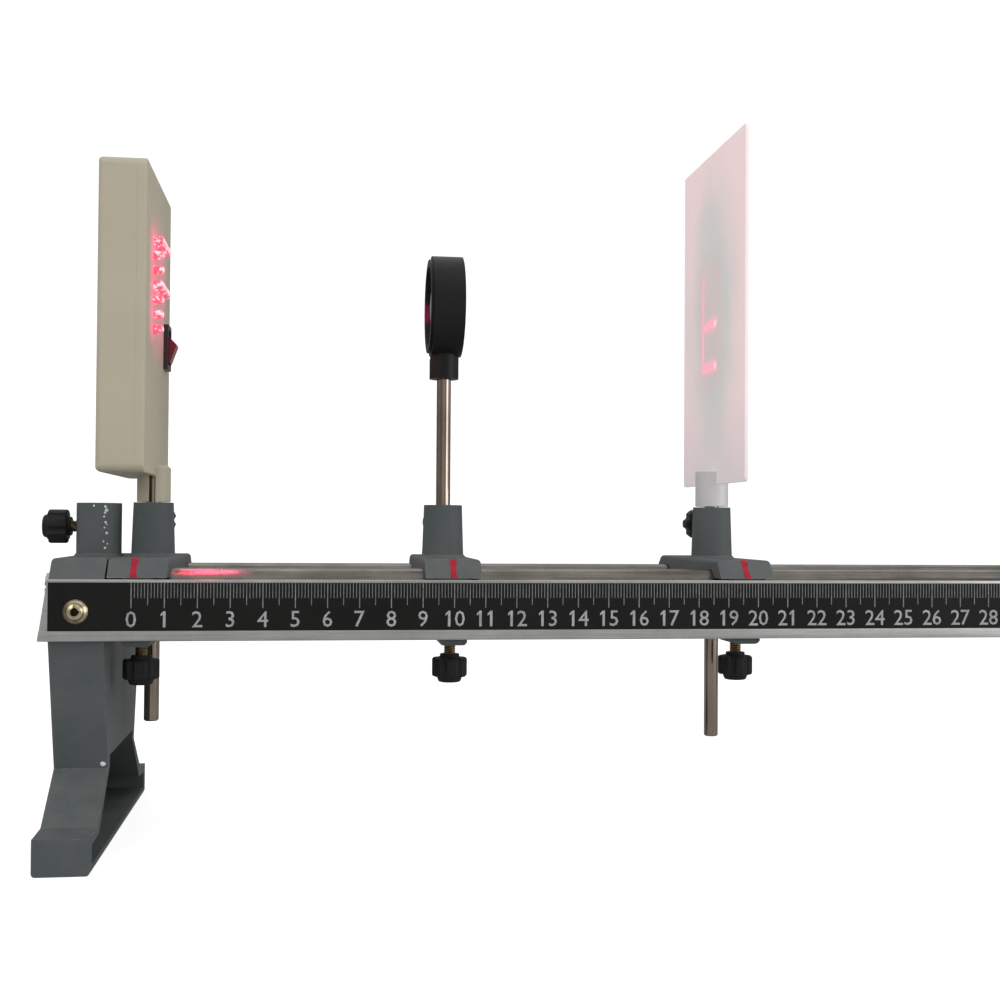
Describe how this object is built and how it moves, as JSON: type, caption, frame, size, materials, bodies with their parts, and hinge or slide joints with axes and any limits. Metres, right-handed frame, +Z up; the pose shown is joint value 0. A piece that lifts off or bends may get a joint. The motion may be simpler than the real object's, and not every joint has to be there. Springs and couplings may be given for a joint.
{
  "type": "optics bench with light box",
  "caption": "Classroom optics bench: a battery light box with a lit letter, a lens and a screen stand on clamped riders that slide on two rails beside a centimetre scale.",
  "frame": {"origin": "on the table surface, below the middle of the bench", "axes": "+X along the bench towards the scale's high end, +Y away from the scale plate, +Z up"},
  "size_m": [0.6696, 0.124, 0.2384],
  "materials": {
    "left_end_support": "grey-blue hammer-smooth paint on a casting, semi-gloss",
    "right_end_support": "grey-blue hammer-smooth paint on a casting, semi-gloss",
    "front_rail": "drawn and polished steel tube",
    "rear_rail": "drawn and polished steel tube",
    "rail_plugs": "turned steel",
    "rail_screws": "zinc plated",
    "scale_plate": "satin extruded strip",
    "scale_label": "black printed strip, satin",
    "scale_plate_screws": "yellow zinc plated",
    "left_socket_knob": "moulded black plastic, fine grain",
    "left_socket_screw": "yellow passivated steel thread",
    "right_socket_knob": "moulded black plastic, fine grain",
    "right_socket_screw": "yellow passivated steel thread",
    "lamp_rider": "grey-blue hammer-smooth paint on a casting, semi-gloss",
    "lamp_rail_knob": "moulded black plastic, fine grain",
    "lamp_rail_screw": "yellow passivated steel thread",
    "lamp_post_knob": "moulded black plastic, fine grain",
    "lamp_post_screw": "yellow passivated steel thread",
    "lamp_rod": "bright drawn steel rod",
    "lens_rider": "grey-blue hammer-smooth paint on a casting, semi-gloss",
    "lens_rail_knob": "moulded black plastic, fine grain",
    "lens_rail_screw": "yellow passivated steel thread",
    "lens_post_knob": "moulded black plastic, fine grain",
    "lens_post_screw": "yellow passivated steel thread",
    "lens_rod": "bright drawn steel rod",
    "screen_rider": "grey-blue hammer-smooth paint on a casting, semi-gloss",
    "screen_rail_knob": "moulded black plastic, fine grain",
    "screen_rail_screw": "yellow passivated steel thread",
    "screen_post_knob": "moulded black plastic, fine grain",
    "screen_post_screw": "yellow passivated steel thread",
    "screen_rod": "bright drawn steel rod",
    "box_shell": "cream moulded plastic, satin",
    "box_cover": "cream moulded plastic, satin",
    "box_screws": "zinc plated",
    "led_board": "green circuit board",
    "leds": "clear red epoxy, lit",
    "led_resistor": "lacquered",
    "switch_body": "black nylon",
    "switch_terminals": "stamped brass",
    "switch_rocker": "red moulded plastic",
    "battery_cells": "plain printed sleeve",
    "battery_contacts": "nickel plated spring steel",
    "battery_door": "cream moulded plastic, satin",
    "box_wires": "insulated wire",
    "lens_holder": "black moulded plastic",
    "lens_glass": "clear polished glass",
    "lens_keeper": "black moulded plastic",
    "screen_socket": "white moulded plastic",
    "screen_panel": "frosted white sheet, lets light through"
  },
  "bodies": {
    "bench": {"left_end_support": "left_end_support", "right_end_support": "right_end_support", "front_rail": "front_rail", "rear_rail": "rear_rail", "rail_plugs": "rail_plugs", "rail_screws": "rail_screws", "scale_plate": "scale_plate", "scale_label": "scale_label", "scale_plate_screws": "scale_plate_screws"},
    "left_socket_clamp": {"left_socket_knob": "left_socket_knob", "left_socket_screw": "left_socket_screw"},
    "right_socket_clamp": {"right_socket_knob": "right_socket_knob", "right_socket_screw": "right_socket_screw"},
    "lamp_carriage": {"lamp_rider": "lamp_rider"},
    "lamp_rail_clamp": {"lamp_rail_knob": "lamp_rail_knob", "lamp_rail_screw": "lamp_rail_screw"},
    "lamp_post_clamp": {"lamp_post_knob": "lamp_post_knob", "lamp_post_screw": "lamp_post_screw"},
    "lamp_stem": {"lamp_rod": "lamp_rod"},
    "light_box": {"box_shell": "box_shell", "box_cover": "box_cover", "box_screws": "box_screws", "led_board": "led_board", "leds": "leds", "led_resistor": "led_resistor", "switch_body": "switch_body", "switch_terminals": "switch_terminals", "battery_cells": "battery_cells", "battery_contacts": "battery_contacts", "box_wires": "box_wires"},
    "lens_carriage": {"lens_rider": "lens_rider"},
    "lens_rail_clamp": {"lens_rail_knob": "lens_rail_knob", "lens_rail_screw": "lens_rail_screw"},
    "lens_post_clamp": {"lens_post_knob": "lens_post_knob", "lens_post_screw": "lens_post_screw"},
    "lens_stem": {"lens_rod": "lens_rod"},
    "lens_head": {"lens_holder": "lens_holder", "lens_glass": "lens_glass", "lens_keeper": "lens_keeper"},
    "screen_carriage": {"screen_rider": "screen_rider"},
    "screen_rail_clamp": {"screen_rail_knob": "screen_rail_knob", "screen_rail_screw": "screen_rail_screw"},
    "screen_post_clamp": {"screen_post_knob": "screen_post_knob", "screen_post_screw": "screen_post_screw"},
    "screen_stem": {"screen_rod": "screen_rod"},
    "screen_head": {"screen_socket": "screen_socket", "screen_panel": "screen_panel"},
    "switch_rocker": {"switch_rocker": "switch_rocker"},
    "battery_door": {"battery_door": "battery_door"}
  },
  "joints": [
    {"name": "left_socket_screw_turn", "type": "hinge", "parent": "bench", "child": "left_socket_clamp", "pos_m": [-0.3166, 0, 0.102], "axis": [-1, 0, 0], "range_deg": [0, 720]},
    {"name": "right_socket_screw_turn", "type": "hinge", "parent": "bench", "child": "right_socket_clamp", "pos_m": [0.3166, 0, 0.102], "axis": [1, 0, 0], "range_deg": [0, 720]},
    {"name": "lamp_along_bench", "type": "slide", "parent": "bench", "child": "lamp_carriage", "axis": [1, 0, 0], "range_m": [0, 0.078]},
    {"name": "lamp_rail_screw_turn", "type": "hinge", "parent": "lamp_carriage", "child": "lamp_rail_clamp", "pos_m": [-0.2987, -0.028, 0.077], "axis": [0, 0, -1], "range_deg": [0, 720]},
    {"name": "lamp_post_screw_turn", "type": "hinge", "parent": "lamp_carriage", "child": "lamp_post_clamp", "pos_m": [-0.2987, 0, 0.1043], "axis": [0, 1, 0], "range_deg": [0, 720]},
    {"name": "lamp_height", "type": "slide", "parent": "lamp_carriage", "child": "lamp_stem", "axis": [0, 0, 1], "range_m": [0, 0.05]},
    {"name": "lamp_turn", "type": "hinge", "parent": "lamp_stem", "child": "light_box", "pos_m": [-0.2987, 0, 0.1102], "axis": [0, 0, 1], "range_deg": [-180, 180]},
    {"name": "lens_along_bench", "type": "slide", "parent": "bench", "child": "lens_carriage", "axis": [1, 0, 0], "range_m": [-0.078, 0.076]},
    {"name": "lens_rail_screw_turn", "type": "hinge", "parent": "lens_carriage", "child": "lens_rail_clamp", "pos_m": [-0.2, -0.028, 0.077], "axis": [0, 0, -1], "range_deg": [0, 720]},
    {"name": "lens_post_screw_turn", "type": "hinge", "parent": "lens_carriage", "child": "lens_post_clamp", "pos_m": [-0.2, 0, 0.1043], "axis": [0, 1, 0], "range_deg": [0, 720]},
    {"name": "lens_height", "type": "slide", "parent": "lens_carriage", "child": "lens_stem", "axis": [0, 0, 1], "range_m": [-0.0434, 0.03]},
    {"name": "lens_turn", "type": "hinge", "parent": "lens_stem", "child": "lens_head", "pos_m": [-0.2, 0, 0.1797], "axis": [0, 0, 1], "range_deg": [-180, 180]},
    {"name": "screen_along_bench", "type": "slide", "parent": "bench", "child": "screen_carriage", "axis": [1, 0, 0], "range_m": [-0.076, 0.4]},
    {"name": "screen_rail_screw_turn", "type": "hinge", "parent": "screen_carriage", "child": "screen_rail_clamp", "pos_m": [-0.103, -0.028, 0.077], "axis": [0, 0, -1], "range_deg": [0, 720]},
    {"name": "screen_post_screw_turn", "type": "hinge", "parent": "screen_carriage", "child": "screen_post_clamp", "pos_m": [-0.103, 0, 0.1043], "axis": [0, 1, 0], "range_deg": [0, 720]},
    {"name": "screen_height", "type": "slide", "parent": "screen_carriage", "child": "screen_stem", "axis": [0, 0, 1], "range_m": [0, 0.05]},
    {"name": "screen_turn", "type": "hinge", "parent": "screen_stem", "child": "screen_head", "pos_m": [-0.103, 0, 0.1184], "axis": [0, 0, 1], "range_deg": [-180, 180]},
    {"name": "switch_rock", "type": "hinge", "parent": "light_box", "child": "switch_rocker", "pos_m": [-0.2978, 0.02, 0.16545], "axis": [0, 1, 0], "range_deg": [0, 24]},
    {"name": "battery_door_slide", "type": "slide", "parent": "light_box", "child": "battery_door", "axis": [0, 1, 0], "range_m": [0, 0.055]}
  ]
}
